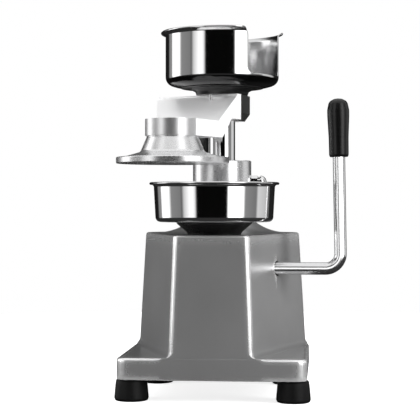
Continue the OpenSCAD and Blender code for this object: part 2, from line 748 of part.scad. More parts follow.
base_casting();
bottom_plate();
bottom_screws();
rubber_feet();
foot_screws();
column_guide();
guide_bolts();
upper_column_bush();
lower_column_bush();
side_screw();
bowl_neck();
neck_screws();
lower_bowl();
mould_ring();
mould_screws();
ejector_bush();
right_shaft_bush();
left_shaft_bush();
spring_post();
return_spring();
lever_rod();
lever_grip();
left_cam();
right_cam();
ejector_finger();
shaft_pins();
shaft_ring();
column();
yoke();
follower_pins();
yoke_screw();
thrust_ring();
head_washer();
head_bolt();
press_arm();
arm_bush();
press_plate();
plate_bolt();
bin_neck();
paper_bin();
bin_screws();
swing_stop_pin();
ejector_plate();
ejector_rod();
ejector_nut();
ejector_lock_nut();
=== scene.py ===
import json
import math

import bmesh
import bpy
from mathutils import Matrix, Vector

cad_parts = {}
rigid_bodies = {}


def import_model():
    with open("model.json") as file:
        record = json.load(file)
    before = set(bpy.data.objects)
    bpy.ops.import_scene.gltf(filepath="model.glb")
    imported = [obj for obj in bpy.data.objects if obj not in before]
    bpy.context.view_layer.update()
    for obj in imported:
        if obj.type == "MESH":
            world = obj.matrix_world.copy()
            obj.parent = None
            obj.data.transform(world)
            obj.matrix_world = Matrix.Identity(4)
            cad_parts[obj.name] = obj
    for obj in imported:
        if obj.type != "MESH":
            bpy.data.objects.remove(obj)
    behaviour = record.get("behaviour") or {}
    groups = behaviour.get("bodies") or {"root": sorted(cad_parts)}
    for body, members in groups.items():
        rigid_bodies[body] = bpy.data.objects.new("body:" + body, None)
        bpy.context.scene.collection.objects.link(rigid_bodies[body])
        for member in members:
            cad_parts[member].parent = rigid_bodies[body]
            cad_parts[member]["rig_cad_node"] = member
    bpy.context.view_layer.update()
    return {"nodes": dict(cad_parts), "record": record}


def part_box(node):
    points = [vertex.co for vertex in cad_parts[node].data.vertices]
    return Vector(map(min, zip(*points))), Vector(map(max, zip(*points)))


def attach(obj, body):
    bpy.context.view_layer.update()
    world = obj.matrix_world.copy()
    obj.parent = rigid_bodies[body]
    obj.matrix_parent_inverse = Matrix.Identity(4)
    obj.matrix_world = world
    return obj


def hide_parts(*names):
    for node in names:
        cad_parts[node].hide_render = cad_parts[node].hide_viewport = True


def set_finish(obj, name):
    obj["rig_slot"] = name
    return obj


for old in list(bpy.data.objects):
    bpy.data.objects.remove(old)
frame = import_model()
NODES = frame["nodes"]
MM = 0.001


# ---------------------------------------------------------------- places
def centre(node):
    low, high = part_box(node)
    return Vector(((low[0] + high[0]) / 2, (low[1] + high[1]) / 2, 0))


BOWL = centre("lower_bowl")
POST = centre("column")
HUB = centre("press_plate")
OPEN = math.atan2(HUB.x - POST.x, POST.y - HUB.y)
AT_BOWL = Matrix.Translation(BOWL) @ Matrix.Scale(MM, 4)
AT_HEAD = Matrix.Translation(POST) @ Matrix.Rotation(OPEN, 4, "Z") @ Matrix.Scale(MM, 4)
AT_HUB = Matrix.Translation(HUB) @ Matrix.Rotation(OPEN, 4, "Z") @ Matrix.Scale(MM, 4)


def smooth_step(a, b, x):
    t = min(max((x - a) / (b - a), 0), 1)
    return t * t * (3 - 2 * t)


# ---------------------------------------------------------------- mesh helpers
def add(name, bm, place, body, slot, replaced=(), sharp=38):
    bmesh.ops.recalc_face_normals(bm, faces=bm.faces)
    mesh = bpy.data.meshes.new(name)
    bm.to_mesh(mesh)
    bm.free()
    mesh.transform(place)
    mesh.shade_smooth()
    mesh.set_sharp_from_angle(angle=math.radians(sharp))
    obj = bpy.data.objects.new(name, mesh)
    bpy.context.scene.collection.objects.link(obj)
    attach(obj, body)
    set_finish(obj, slot)
    if replaced:
        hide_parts(*replaced)
    return obj


def weighted(obj):
    m = obj.modifiers.new("normals", "WEIGHTED_NORMAL")
    m.keep_sharp = True
    return obj


def rounded(points, steps=5, closed=True):
    """The outline with each (x, y, radius) corner turned into an arc."""
    out = []
    n = len(points)
    for i, p in enumerate(points):
        here = Vector(p[:2])
        r = p[2] if len(p) > 2 else 0
        if not r or (not closed and i in (0, n - 1)):
            out.append(here)
            continue
        a = Vector(points[i - 1][:2]) - here
        b = Vector(points[(i + 1) % n][:2]) - here
        la, lb = a.length, b.length
        a.normalize()
        b.normalize()
        half = a.angle(b) / 2
        d = min(r / math.tan(half), la * 0.49, lb * 0.49)
        r = d * math.tan(half)
        c = here + (a + b).normalized() * (r / math.sin(half))
        v0, v1 = here + a * d - c, here + b * d - c
        a0 = math.atan2(v0.y, v0.x)
        turn = (math.atan2(v1.y, v1.x) - a0 + math.pi) % math.tau - math.pi
        for k in range(steps + 1):
            t = a0 + turn * k / steps
            out.append(c + Vector((math.cos(t), math.sin(t))) * r)
    return out


def bridge(bm, a, b, closed=True):
    """Quads between two rows of vertices. A row of one vertex is a pole."""
    n = max(len(a), len(b))
    for i in range(n if closed else n - 1):
        j = (i + 1) % n
        corners = [a[i % len(a)], a[j % len(a)], b[j % len(b)], b[i % len(b)]]
        face = []
        for v in corners:
            if v not in face:
                face.append(v)
        if len(face) > 2:
            bm.faces.new(face)


def lathe(profile, loop=True, segments=160):
    """A body of revolution about Z from (radius, height) points."""
    bm = bmesh.new()
    rows = []
    for r, z in profile:
        if r < 1e-5:
            rows.append([bm.verts.new((0, 0, z))])
        else:
            rows.append([bm.verts.new((r * math.cos(math.tau * k / segments),
                                       r * math.sin(math.tau * k / segments), z))
                         for k in range(segments)])
    for a, b in zip(rows, rows[1:] + (rows[:1] if loop else [])):
        if len(a) > 1 or len(b) > 1:
            bridge(bm, a, b)
    return bm


def cylinder_between(bm, a, b, r, segments=32):
    """A closed cylinder from point a to point b."""
    axis = (b - a).normalized()
    side = axis.orthogonal().normalized()
    up = axis.cross(side)
    rows = [[bm.verts.new(p + (side * math.cos(math.tau * k / segments)
                               + up * math.sin(math.tau * k / segments)) * r)
             for k in range(segments)] for p in (a, b)]
    bridge(bm, rows[0], rows[1])
    bm.faces.new(rows[0])
    bm.faces.new(rows[1])


def cut(obj, bm, place, name):
    """Takes the closed shape bm away from obj."""
    bmesh.ops.recalc_face_normals(bm, faces=bm.faces)
    mesh = bpy.data.meshes.new(name)
    bm.to_mesh(mesh)
    bm.free()
    mesh.transform(place)
    tool = bpy.data.objects.new(name, mesh)
    bpy.context.scene.collection.objects.link(tool)
    m = obj.modifiers.new(name, "BOOLEAN")
    m.operation = "DIFFERENCE"
    m.solver = "EXACT"
    m.object = tool
    bake(obj)
    bpy.data.objects.remove(tool)


def bake(obj):
    """Turns obj's modifiers into its mesh."""
    deps = bpy.context.evaluated_depsgraph_get()
    mesh = bpy.data.meshes.new_from_object(obj.evaluated_get(deps), depsgraph=deps)
    obj.modifiers.clear()
    obj.data = mesh


# ---------------------------------------------------------------- base casting
PLATE_W, PLATE_FRONT, PLATE_REAR = 122.0, -60.0, 180.0
PLATE_LOW, PLATE_TOP, TOWER_TOP = 28.5, 56.6, 213.0
POST_Y = (POST.y - BOWL.y) / MM
TOWER_FOOT = 34.5                     # where the body's sloping sides would reach their full width
TOP_R, FOOT_FILLET, PLATE_R = 3.0, 8.0, 4.0
BOSS_R, BOSS_TOP, GUIDE_R = 41.05, 226, 30.1
FLARE_R, FLARE_HIGH = 92, 17
WALL = 4.5
SHAFT_Y, SHAFT_Z = 38, 167
COUNTS = (10, 9, 40, 26, 10)          # points on front, front corner, side, rear corner and rear


def tower_ring(z, grow):
    """Outline of the tapering body at height z, grown outwards, from the front middle."""
    t = min(max((z - TOWER_FOOT) / (TOWER_TOP - TOWER_FOOT), 0), 1)
    half = 56 - 6.5 * t
    front = -60 + 5 * t
    wide = 118.4 - 10.8 * t
    rear = 176 - 3 * t
    r1, r3 = 8.5, 42.0
    c1 = Vector((half - r1, front + r1))
    c3 = Vector((wide - r3, rear - r3))
    d = c3 - c1
    a = math.atan2(d.y, d.x) - math.acos((r1 - r3) / d.length)
    g1, g3 = max(r1 + grow, 0.6), r3 + grow
    n = Vector((math.cos(a), math.sin(a)))
    right = [Vector((c1.x * k / COUNTS[0], front + r1 - g1)) for k in range(COUNTS[0])]
    for k in range(COUNTS[1]):
        s = -math.pi / 2 + (a + math.pi / 2) * k / COUNTS[1]
        right.append(c1 + Vector((math.cos(s), math.sin(s))) * g1)
    p, q = c1 + n * g1, c3 + n * g3
    right += [p.lerp(q, k / COUNTS[2]) for k in range(COUNTS[2])]
    for k in range(COUNTS[3]):
        s = a + (math.pi / 2 - a) * k / COUNTS[3]
        right.append(c3 + Vector((math.cos(s), math.sin(s))) * g3)
    right += [Vector((c3.x * (1 - k / COUNTS[4]), rear + grow)) for k in range(COUNTS[4] + 1)]
    left = [Vector((-p.x, p.y)) for p in right[1:-1]]
    return right + left[::-1]


def plate_ring(inset):
    """Outline of the foot plate, with the same number of points as the body's."""
    w, front, rear = PLATE_W - inset, PLATE_FRONT, PLATE_REAR - inset
    r1, r3 = 14 - inset * 0.5, 42 - inset

    def y_at(x):
        return front + inset * smooth_step(62, 70, abs(x))

    right = [Vector((50 * k / COUNTS[0], y_at(0))) for k in range(COUNTS[0])]
    right += [Vector((50 + 15 * k / COUNTS[1], y_at(50 + 15 * k / COUNTS[1]))) for k in range(COUNTS[1])]
    path = [Vector((x, y_at(x))) for x in (65, 67, 69.5, 72, 78, 86, 94, 102)]
    low = y_at(120)
    path += [Vector((w - r1 + r1 * math.sin(s), low + r1 - r1 * math.cos(s)))
             for s in [math.pi / 2 * k / 10 for k in range(11)]]
    path += [Vector((w, low + r1 + (130 - low - r1) * k / 21)) for k in range(1, 22)]
    right += path[:COUNTS[2]]
    for k in range(COUNTS[3]):
        s = math.pi / 2 * k / COUNTS[3]
        right.append(Vector((w - r3 + r3 * math.cos(s), rear - r3 + r3 * math.sin(s))))
    right += [Vector(((w - r3) * (1 - k / COUNTS[4]), rear)) for k in range(COUNTS[4] + 1)]
    left = [Vector((-p.x, p.y)) for p in right[1:-1]]
    return right + left[::-1]


def flare_height(x, y):
    """Height of the flared foot of the boss above the flat top."""
    r = math.hypot(x, y - POST_Y)
    if r >= FLARE_R:
        return 0.0
    near = 44
    arc = ((FLARE_R - near) ** 2 + FLARE_HIGH ** 2) / (2 * FLARE_HIGH)
    h = arc - math.sqrt(max(arc * arc - (FLARE_R - max(r, near)) ** 2, 0))
    return h * smooth_step(169, 163.5, y)


def base_skin():
    """Foot plate, tapering body and boss foot as one shell, in rings from the bottom up."""
    bm = bmesh.new()

    def row(ring, z):
        return [bm.verts.new((p.x, p.y, z)) for p in ring]

    rows = [row(plate_ring(1.6), PLATE_LOW), row(plate_ring(0.4), PLATE_LOW + 0.6),
            row(plate_ring(0), PLATE_LOW + 2)]
    rows += [row(plate_ring(0), z) for z in (35, 42, 49)]
    for k in range(6):
        s = math.pi / 2 * k / 5
        rows.append(row(plate_ring(PLATE_R - PLATE_R * math.cos(s)),
                        PLATE_TOP - PLATE_R + PLATE_R * math.sin(s)))
    for k in range(7):
        s = math.pi / 2 * (1 - k / 6)
        z = PLATE_TOP + FOOT_FILLET * (1 - math.sin(s))
        front = tower_ring(z, 0)[0].y
        ring = [Vector((min(max(p.x, -119.4), 119.4), min(max(p.y, front), 177.4)))
                for p in tower_ring(z, FOOT_FILLET * (1 - math.cos(s)))]
        rows.append(row(ring, z + 0.02))
    z = PLATE_TOP + FOOT_FILLET
    for k in range(1, 15):
        zz = z + (TOWER_TOP - TOP_R - z) * k / 14
        rows.append(row(tower_ring(zz, 0), zz))
    for k in range(1, 7):
        s = math.pi / 2 * k / 6
        rows.append(row(tower_ring(TOWER_TOP, TOP_R * math.cos(s) - TOP_R),
                        TOWER_TOP - TOP_R + TOP_R * math.sin(s)))
    edge = tower_ring(TOWER_TOP, -TOP_R)
    steps = 34
    for k in range(1, steps + 1):
        ring = []
        for p in edge:
            a = math.atan2(p.y - POST_Y, p.x)
            q = Vector((BOSS_R * math.cos(a), POST_Y + BOSS_R * math.sin(a)))
            ring.append(p.lerp(q, (k / steps) ** 0.85))
        rows.append([bm.verts.new((p.x, p.y, TOWER_TOP + flare_height(p.x, p.y))) for p in ring])
    inner = [math.atan2(p.y - POST_Y, p.x) for p in edge]
    for r, z in ((BOSS_R, BOSS_TOP), (GUIDE_R, BOSS_TOP), (GUIDE_R, 207)):
        rows.append([bm.verts.new((r * math.cos(a), POST_Y + r * math.sin(a), z)) for a in inner])
    for a, b in zip(rows, rows[1:]):
        bridge(bm, a, b)
    obj = add("base_skin", bm, AT_BOWL, "base", "cast_aluminium", ("base_casting",), sharp=44)
    shell = obj.modifiers.new("shell", "SOLIDIFY")
    shell.thickness = WALL * MM
    shell.offset = -1
    bake(obj)
    hole = bmesh.new()
    cylinder_between(hole, Vector((50, SHAFT_Y, SHAFT_Z)), Vector((130, SHAFT_Y, SHAFT_Z)), 10.5, 64)
    cut(obj, hole, AT_BOWL, "shaft_hole")
    hole = bmesh.new()
    cylinder_between(hole, Vector((0, 0, 196)), Vector((0, 0, 230)), 12.05, 48)
    cut(obj, hole, AT_BOWL, "rod_hole")
    return weighted(obj)


BASE = base_skin()


# ---------------------------------------------------------------- spun steel
def lip(wall_r, rim_r, rim_z, drop):
    """Mid-line of a flared lip with a hemmed edge, from the wall outwards."""
    out = []
    for k in range(9):
        t = k / 8
        out.append((wall_r + (rim_r - 1.4 - wall_r) * t * t * (1.5 - 0.5 * t),
                    rim_z - drop + (drop - 0.9) * t))
    end_r, end_z = out[-1]
    for k in range(1, 7):
        s = math.radians(70 - 38 * k)
        out.append((end_r - 0.4 + 1.0 * math.cos(s) + 0.1, end_z - 1.0 + 1.0 * math.sin(s)))
    return out


def sheet(obj, thickness):
    """Gives the mid-surface obj its thickness."""
    m = obj.modifiers.new("sheet", "SOLIDIFY")
    m.thickness = thickness * MM
    m.offset = 0
    bake(obj)
    return weighted(obj)


def bowl_skin():
    profile = [(12.1, 230.2), (30, 230.2), (50, 230.2), (66, 230.25)]
    profile += [(70.6 + 6 * math.sin(math.radians(a)), 236.2 - 6 * math.cos(math.radians(a)))
                for a in range(0, 91, 10)]
    low_r, low_z = profile[-1]
    profile += [(low_r + (78.7 - low_r) * k / 8, low_z + (275.2 - low_z) * k / 8) for k in range(1, 8)]
    profile += lip(78.7, 85.2, 281.6, 6.4)
    return sheet(add("bowl_skin", lathe(profile, loop=False, segments=224), AT_BOWL, "base",
                     "mirror_stainless", ("lower_bowl",), sharp=60), 1.3)


BIN_LOW, BIN_RIM, BIN_R = 431.0, 494.0, 78.75
CUT_FROM, CUT_TO = math.radians(-59) - OPEN, math.radians(-2) - OPEN


def bin_gap(z):
    """Directions of the cut-out's two edges at height z, rounded at its low and top corners."""
    low = max(0.0, 1 - (z - BIN_LOW) / 8)
    top = max(0.0, 1 - (BIN_RIM - 1 - z) / 12)
    inset = 8 * (1 - math.sqrt(max(1 - low * low, 0))) / 79
    outset = 10 * (1 - math.sqrt(max(1 - min(top, 1) ** 2, 0))) / 79
    return CUT_FROM + inset - outset, CUT_TO - inset + outset


def bin_skin():
    """The bin as a mid-surface: rows of the wall, and of the cut-out's width too where it is closed."""
    bm = bmesh.new()
    wall_n, gap_n = 230, 40
    profile = [(25, 416.4), (40, 416.4), (56, 416.45), (60, 416.9), (66, 418.1)]
    base_a = math.radians(10)
    profile += [(67.2 + 11.5 * math.sin(a), 430.4 - 11.5 * math.cos(a))
                for a in [base_a + (math.pi / 2 - base_a) * k / 10 for k in range(11)]]
    full = len(profile)
    for k in range(1, 9):
        profile.append((BIN_R, BIN_LOW + 8 * (1 - math.cos(math.pi / 2 * k / 8))))
    profile += [(BIN_R, 439 + 42 * k / 10) for k in range(1, 11)]
    profile += [(BIN_R, 481 + 6 * k / 5) for k in range(1, 5)]
    profile += lip(BIN_R, 85.9, BIN_RIM - 0.1, 7)
    rows = []
    for i, (r, z) in enumerate(profile):
        a, b = bin_gap(max(z, BIN_LOW))
        if i >= len(profile) - 7:
            a, b = bin_gap(BIN_RIM - 1)
        angles = [b + (math.tau - b + a) * k / wall_n for k in range(wall_n + 1)]
        if i < full:
            angles += [a + (b - a) * k / gap_n for k in range(1, gap_n)]
        rows.append([bm.verts.new((r * math.cos(t), r * math.sin(t), z)) for t in angles])
    for i in range(len(rows) - 1):
        if i + 1 < full:
            bridge(bm, rows[i], rows[i + 1])
        else:
            bridge(bm, rows[i][:wall_n + 1], rows[i + 1][:wall_n + 1], closed=False)
    return sheet(add("bin_skin", bm, AT_HEAD, "head", "mirror_stainless", ("paper_bin",), sharp=60), 1.4)


BOWL_SKIN = bowl_skin()
BIN_SKIN = bin_skin()


# ---------------------------------------------------------------- turned pieces
def turned(name, points, place, body, slot, replaced=(), segments=160, loop=True, sharp=50):
    return weighted(add(name, lathe(rounded(points, closed=loop), loop, segments), place, body, slot,
                        replaced, sharp))


turned("neck_skin", [(12.05, 213.05), (35, 213.05, 0.6), (36, 216, 4), (49, 227, 3), (50, 229.4, 0.6),
                     (12.05, 229.4)], AT_BOWL, "base", "dark_steel", ("bowl_neck",))
turned("mould_skin", [(12.05, 231.1), (69, 231.1, 0.6), (69, 281.5, 1.2), (65, 281.5, 0.6),
                      (65, 237.1, 2), (12.05, 237.1)],
       AT_BOWL, "base", "white_plastic", ("mould_ring",))
turned("disc_skin", [(0, 306.5), (75, 306.5, 1.4), (75, 314.8, 1.6), (62, 316.2, 8), (44, 321.4, 2.4),
                     (42, 323.6, 1.2), (34.4, 341.5, 1.6), (34.4, 342.95, 0.4), (12, 342.95),
                     (12, 356), (0, 356)],
       AT_HUB, "head", "turned_aluminium", ("press_plate",), loop=False)
turned("bin_neck_skin", [(26, 405.06), (36, 405.06, 0.8), (37.5, 410, 3), (46, 414, 6), (58, 415.0, 0.4),
                         (58, 415.6), (26, 415.6)], AT_HEAD, "head", "dark_steel", ("bin_neck",))


def feet_skin():
    bm = bmesh.new()
    outline = rounded([(4.4, 8), (9, 8, 0.5), (9, 0, 0.8), (21.0, 0, 2.2), (22.3, 3.5, 2.5),
                       (21.6, 12, 6), (20.6, 22, 3), (19.8, 26.5, 2), (17.5, 28.45, 0.8), (4.4, 28.45)])
    for x, y in ((-104.4, -35), (104.4, -35), (-92, 138), (92, 138)):
        one = lathe(outline, segments=72)
        bmesh.ops.translate(one, verts=one.verts, vec=(x, y, 0))
        mesh = bpy.data.meshes.new("one_foot")
        one.to_mesh(mesh)
        one.free()
        bm.from_mesh(mesh)
        bpy.data.meshes.remove(mesh)
    return weighted(add("feet_skin", bm, AT_BOWL, "base", "black_rubber", ("rubber_feet",)))


feet_skin()
LEAN = math.radians(-1)
AT_GRIP = (AT_BOWL @ Matrix.Translation((145, SHAFT_Y, SHAFT_Z + 20)) @ Matrix.Rotation(LEAN, 4, "Y")
           @ Matrix.Translation((20, 0, 128)))
turned("grip_skin", [(8.26, 0), (11.9, 0, 1.6), (13.0, 3, 4), (13.2, 26, 30), (14.55, 54, 20),
                     (14.6, 62, 9), (12.4, 73.5, 8), (5.2, 77.2, 9), (0, 77.75), (0, 65.5),
                     (8.26, 65.5)],
       AT_GRIP, "lever", "black_grip", ("lever_grip",), segments=96, loop=False)


# ---------------------------------------------------------------- press arm
HUB_R, REACH = 36.5, 128


def prism(outline, low, high):
    """A closed upright prism over a plan outline."""
    bm = bmesh.new()
    rows = [[bm.verts.new((x, y, z)) for x, y in outline] for z in (low, high)]
    bridge(bm, rows[0], rows[1])
    bm.faces.new(rows[0])
    bm.faces.new(rows[1])
    return bm


def side_prism(outline, left, right):
    """A closed prism over a side view outline of (forward, height) points."""
    bm = bmesh.new()
    rows = [[bm.verts.new((x, -v, z)) for v, z in outline] for x in (left, right)]
    bridge(bm, rows[0], rows[1])
    bm.faces.new(rows[0])
    bm.faces.new(rows[1])
    return bm


def loose(bm, name):
    """bm as an object for the booleans."""
    bmesh.ops.recalc_face_normals(bm, faces=bm.faces)
    mesh = bpy.data.meshes.new(name)
    bm.to_mesh(mesh)
    bm.free()
    obj = bpy.data.objects.new(name, mesh)
    bpy.context.scene.collection.objects.link(obj)
    return obj


def combine(obj, other, how):
    m = obj.modifiers.new("join", "BOOLEAN")
    m.operation = how
    m.solver = "EXACT"
    m.object = other
    bake(obj)
    bpy.data.objects.remove(other)


def arm_skin():
    """Column block with a sloped front, beam and round hub, joined, bored and with rounded edges."""
    slope = [(52, 370.0), (64, 370.0), (21.6, 402.2), (21.2, 405), (-50, 405), (-50, 370)]
    plan = rounded([(HUB_R, -66, 0), (HUB_R, -10, 1.0), (26, 34, 3), (10, 40, 10), (-18, 38, 10),
                    (-30, 32, 12), (-84, -8, 6), (-92, -17, 4), (-92, -26, 5), (-66, -68, 3)], steps=4)
    block = loose(prism(plan, 360, 410), "arm_block")
    combine(block, loose(side_prism(slope, -110, 60), "arm_slope"), "INTERSECT")
    beam = [(10, 370), (36, 370), (46, 357), (60, 343), (REACH, 343), (REACH, 365), (70, 365.1),
            (21.62, 402.18), (10, 404)]
    combine(block, loose(side_prism(beam, -HUB_R, HUB_R), "arm_beam"), "UNION")
    hub = lathe([(0, 343), (HUB_R, 343), (HUB_R, 365.1), (0, 365.1)], loop=False, segments=128)
    bmesh.ops.translate(hub, verts=hub.verts, vec=(0, -REACH, 0))
    combine(block, loose(hub, "arm_hub"), "UNION")
    for r, low, high, y in ((18.05, 360, 400, 0), (20.4, 395.9, 410, 0), (23, 360, 374, 0),
                            (12.05, 340, 357, -REACH), (9.6, 360, 370, -REACH)):
        hole = lathe([(0, low), (r, low), (r, high), (0, high)], loop=False, segments=96)
        bmesh.ops.translate(hole, verts=hole.verts, vec=(0, y, 0))
        combine(block, loose(hole, "arm_hole"), "DIFFERENCE")
    start, along = Vector((HUB_R, -10, 0)), Vector((-10.5, 44, 0)).normalized()
    out = Vector((along.y, -along.x, 0))
    wedge = bmesh.new()
    rows = [[wedge.verts.new(start + along * s + out * o + Vector((0, 0, z)))
             for o, z in ((2, 382), (2, 366), (-11, 366), (-11, 369))] for s in (0.3, 90)]
    bridge(wedge, rows[0], rows[1])
    wedge.faces.new(rows[0])
    wedge.faces.new(rows[1])
    combine(block, loose(wedge, "arm_wedge"), "DIFFERENCE")
    bm = bmesh.new()
    bm.from_mesh(block.data)
    bpy.data.objects.remove(block)
    bmesh.ops.remove_doubles(bm, verts=bm.verts, dist=0.02)
    bmesh.ops.dissolve_limit(bm, angle_limit=math.radians(1), verts=bm.verts, edges=bm.edges)
    obj = add("arm_skin", bm, AT_HEAD, "head", "arm_casting", ("press_arm",), sharp=30)
    m = obj.modifiers.new("edges", "BEVEL")
    m.width = 1.5 * MM
    m.segments = 4
    m.limit_method = "ANGLE"
    m.angle_limit = math.radians(22)
    bake(obj)
    obj.data.shade_smooth()
    return weighted(obj)


ARM = arm_skin()


# ---------------------------------------------------------------- materials
def shader(name, colour, metallic, rough, wobble=0.08, grain=900.0, bump=0.02, stretch=(1, 1, 1),
           tint=0.06, blotch=14.0, distance=0.0004, spec=0.5, edge_wear_and_glint=0.0):
    """A finish with cloudy colour and roughness, fine grain in the bump, and paler edges: partly edge
    wear, partly a painted highlight.
    """
    mat = bpy.data.materials.new(name)
    mat.use_nodes = True
    tree = mat.node_tree
    nodes, links = tree.nodes, tree.links
    bsdf = nodes["Principled BSDF"]
    bsdf.inputs["Metallic"].default_value = metallic
    bsdf.inputs["Specular IOR Level"].default_value = spec
    coord = nodes.new("ShaderNodeTexCoord")
    cloud = nodes.new("ShaderNodeTexNoise")
    cloud.inputs["Scale"].default_value = blotch
    cloud.inputs["Detail"].default_value = 5
    links.new(coord.outputs["Object"], cloud.inputs["Vector"])
    mapping = nodes.new("ShaderNodeMapping")
    mapping.inputs["Scale"].default_value = stretch
    links.new(coord.outputs["Object"], mapping.inputs["Vector"])
    fine = nodes.new("ShaderNodeTexNoise")
    fine.inputs["Scale"].default_value = grain
    fine.inputs["Detail"].default_value = 4
    links.new(mapping.outputs["Vector"], fine.inputs["Vector"])
    ramp = nodes.new("ShaderNodeMapRange")
    ramp.inputs["From Min"].default_value = 0.3
    ramp.inputs["From Max"].default_value = 0.7
    ramp.inputs["To Min"].default_value = max(rough - wobble, 0.01)
    ramp.inputs["To Max"].default_value = rough + wobble
    both = nodes.new("ShaderNodeMix")
    both.data_type = "FLOAT"
    both.inputs[0].default_value = 0.5
    links.new(cloud.outputs["Fac"], both.inputs[2])
    links.new(fine.outputs["Fac"], both.inputs[3])
    links.new(both.outputs[0], ramp.inputs["Value"])
    links.new(ramp.outputs["Result"], bsdf.inputs["Roughness"])
    paint = nodes.new("ShaderNodeMix")
    paint.data_type = "RGBA"
    paint.inputs[6].default_value = (*[c * (1 - tint) for c in colour], 1)
    paint.inputs[7].default_value = (*[min(c * (1 + tint), 1) for c in colour], 1)
    links.new(cloud.outputs["Fac"], paint.inputs[0])
    links.new(paint.outputs[2], bsdf.inputs["Base Color"])
    # Edges found by Pointiness get a paler colour and lower roughness: partly edge wear, partly a
    # painted highlight along the rounded edges.
    if edge_wear_and_glint:
        shape = nodes.new("ShaderNodeNewGeometry")
        edge = nodes.new("ShaderNodeMapRange")
        edge.inputs["From Min"].default_value = 0.502
        edge.inputs["From Max"].default_value = 0.53
        edge.inputs["To Max"].default_value = edge_wear_and_glint
        links.new(shape.outputs["Pointiness"], edge.inputs["Value"])
        rub = nodes.new("ShaderNodeMix")
        rub.data_type = "RGBA"
        rub.inputs[7].default_value = (0.92, 0.92, 0.92, 1)
        links.new(edge.outputs["Result"], rub.inputs[0])
        links.new(paint.outputs[2], rub.inputs[6])
        links.new(rub.outputs[2], bsdf.inputs["Base Color"])
        polish = nodes.new("ShaderNodeMix")
        polish.data_type = "FLOAT"
        polish.inputs[3].default_value = 0.16
        links.new(edge.outputs["Result"], polish.inputs[0])
        links.new(ramp.outputs["Result"], polish.inputs[2])
        links.new(polish.outputs[0], bsdf.inputs["Roughness"])
    relief = nodes.new("ShaderNodeBump")
    relief.inputs["Strength"].default_value = bump
    relief.inputs["Distance"].default_value = distance
    links.new(fine.outputs["Fac"], relief.inputs["Height"])
    links.new(relief.outputs["Normal"], bsdf.inputs["Normal"])
    return mat


def grey(v):
    return (v, v, v * 1.005)


FINISH = {
    # cast_aluminium carries the pale edges: partly wear, partly a painted highlight.
    "cast_aluminium": shader("cast_aluminium", grey(0.39), 0.7, 0.3, 0.03, 900, 0.012, blotch=9,
                             tint=0.16, edge_wear_and_glint=0.9),
    "turned_aluminium": shader("turned_aluminium", grey(0.86), 0.92, 0.28, 0.02, 260, 0.01, (1, 1, 9)),
    "arm_casting": shader("arm_casting", grey(0.93), 0.2, 0.34, 0.04, 600, 0.05),
    "mirror_stainless": shader("mirror_stainless", grey(0.78), 1.0, 0.07, 0.02, 120, 0.01, (1, 1, 12)),
    "dark_steel": shader("dark_steel", grey(0.06), 0.9, 0.3, 0.06, 420, 0.05),
    "chrome_rod": shader("chrome_rod", grey(0.84), 1.0, 0.07, 0.025, 240, 0.012, (1, 1, 6)),
    "plain_steel": shader("plain_steel", grey(0.42), 1.0, 0.38, 0.1, 500, 0.06),
    "bearing_bronze": shader("bearing_bronze", (0.42, 0.27, 0.11), 1.0, 0.34, 0.08, 500, 0.05),
    "black_rubber": shader("black_rubber", grey(0.004), 0.0, 0.5, 0.08, 1300, 0.2, spec=0.3),
    "black_grip": shader("black_grip", grey(0.004), 0.0, 0.3, 0.07, 1500, 0.12, spec=0.4),
    "white_plastic": shader("white_plastic", grey(0.82), 0.0, 0.4, 0.06, 900, 0.05),
    "zinc_screw": shader("zinc_screw", grey(0.6), 1.0, 0.28, 0.08, 600, 0.05),
}
# Near-black copy of the stainless for the bin's outer underside: painted shade standing in for a dark
# reflection.
SHADED_UNDERSIDE = shader("shaded_under_stainless", grey(0.05), 1.0, 0.14, 0.04, 120, 0.02, (1, 1, 8))
# Dark metal copy for the arm block's side face and the chamfer under it: painted shade on that face.
SHADED_ARM_FACE = shader("shaded_arm_face", grey(0.2), 0.9, 0.3, 0.05, 300, 0.03, (1, 1, 8))
INSIDE = shader("inner_stainless", grey(0.74), 1.0, 0.17, 0.03, 90, 0.02, (1, 1, 0.06))
HUB_FACE = shader("hub_face", grey(0.9), 0.93, 0.34, 0.02, 260, 0.01, (1, 1, 9))
PLAIN_CAST = shader("plain_cast", grey(0.39), 0.7, 0.3, 0.03, 900, 0.012, blotch=9,
                    tint=0.16)
SATIN_ROD = shader("satin_rod", grey(0.84), 1.0, 0.2, 0.04, 240, 0.012, (1, 1, 6))
SLOT_OF = {part["node"]: part["material_slot"] for part in frame["record"]["subparts"]}
for obj in list(bpy.context.scene.objects):
    if obj.type != "MESH":
        continue
    slot = SLOT_OF.get(obj.get("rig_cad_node", "")) or obj.get("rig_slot")
    obj.data.materials.clear()
    obj.data.materials.append(FINISH[slot or "plain_steel"])


NODES["lever_rod"].data.materials[0] = SATIN_ROD


def second_finish(obj, mat, chosen):
    """Gives the faces for which chosen(centre, normal) holds a finish of their own."""
    obj.data.materials.append(mat)
    index = len(obj.data.materials) - 1
    for face in obj.data.polygons:
        if chosen(face.center, face.normal):
            face.material_index = index


second_finish(BASE, PLAIN_CAST, lambda c, n: c.x > BOWL.x + 0.08 and abs(c.z - SHAFT_Z * MM) < 0.034
              and abs(c.y - BOWL.y - SHAFT_Y * MM) < 0.026)
second_finish(BOWL_SKIN, INSIDE, lambda c, n: (c - BOWL).xy.dot(n.xy) < -0.01 or n.z > 0.7)
second_finish(BIN_SKIN, INSIDE, lambda c, n: (c - POST).xy.dot(n.xy) < -0.01 or n.z > 0.7)
